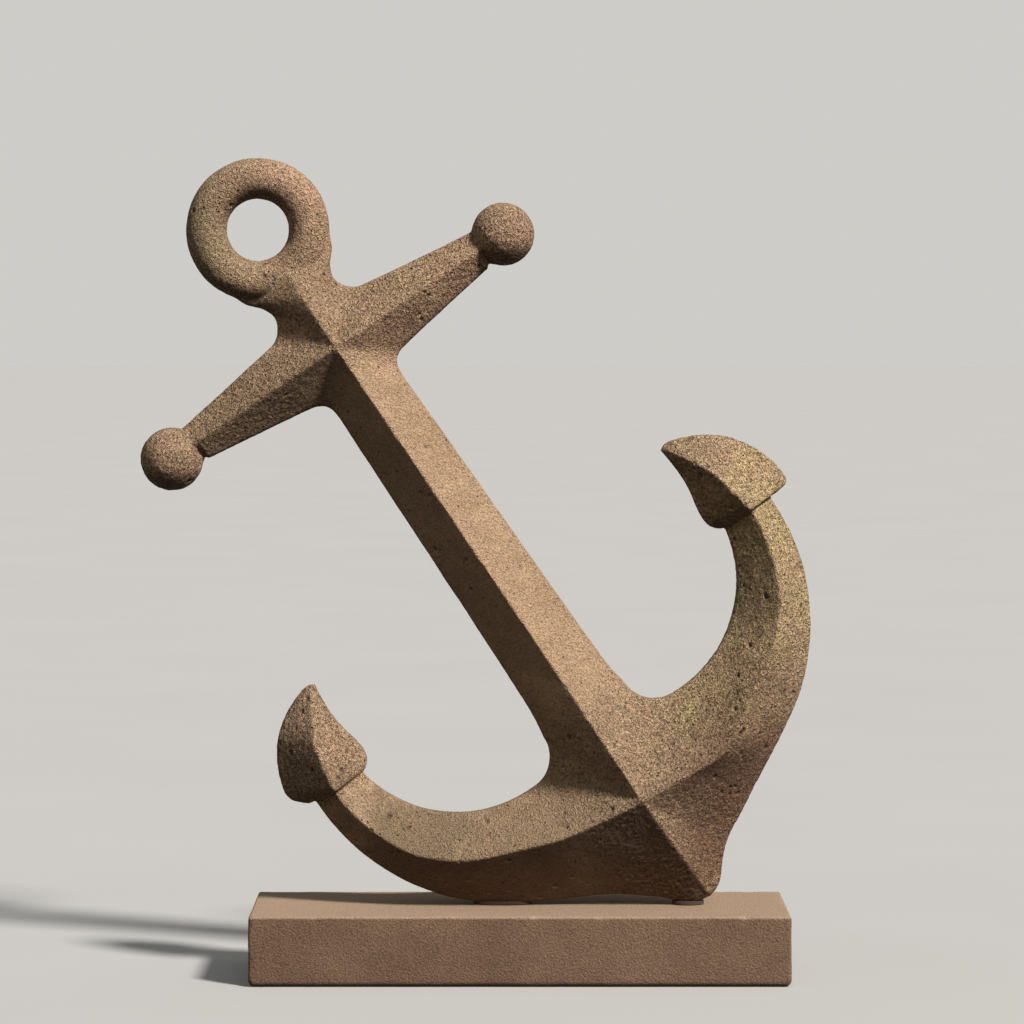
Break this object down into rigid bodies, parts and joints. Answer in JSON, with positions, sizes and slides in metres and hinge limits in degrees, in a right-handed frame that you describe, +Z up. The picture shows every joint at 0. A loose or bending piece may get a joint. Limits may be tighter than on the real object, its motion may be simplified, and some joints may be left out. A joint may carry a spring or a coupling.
{
  "type": "ornamental anchor",
  "caption": "Leaning ornamental anchor in cast stone, with ring, stock, balls and flukes, bolted upright on a rectangular plinth.",
  "frame": {"origin": "centre of the plinth's underside, on the surface it stands on", "axes": "+X along the plinth towards the high arm, +Y towards the back, +Z up"},
  "size_m": [0.5476, 0.15, 0.6687],
  "materials": {
    "cast_stone": "matte",
    "plinth_stone": "matte",
    "mortar": "matte",
    "steel_bar": "satin",
    "zinc_steel": "satin"
  },
  "bodies": {
    "root": {"ring_eye": "cast_stone", "head_hub": "cast_stone", "stock_arm_left": "cast_stone", "stock_arm_right": "cast_stone", "stock_ball_left": "cast_stone", "stock_ball_right": "cast_stone", "shank": "cast_stone", "crown": "cast_stone", "arm_left": "cast_stone", "arm_right": "cast_stone", "fluke_left": "cast_stone", "fluke_right": "cast_stone", "plinth": "plinth_stone", "arm_bed": "mortar", "crown_bed": "mortar", "ring_hoop": "steel_bar", "stock_bar": "steel_bar", "shank_bar": "steel_bar", "arm_bar": "steel_bar", "arm_stud": "zinc_steel", "crown_stud": "zinc_steel", "arm_washer": "zinc_steel", "crown_washer": "zinc_steel", "arm_nut": "zinc_steel", "crown_nut": "zinc_steel"}
  },
  "joints": []
}
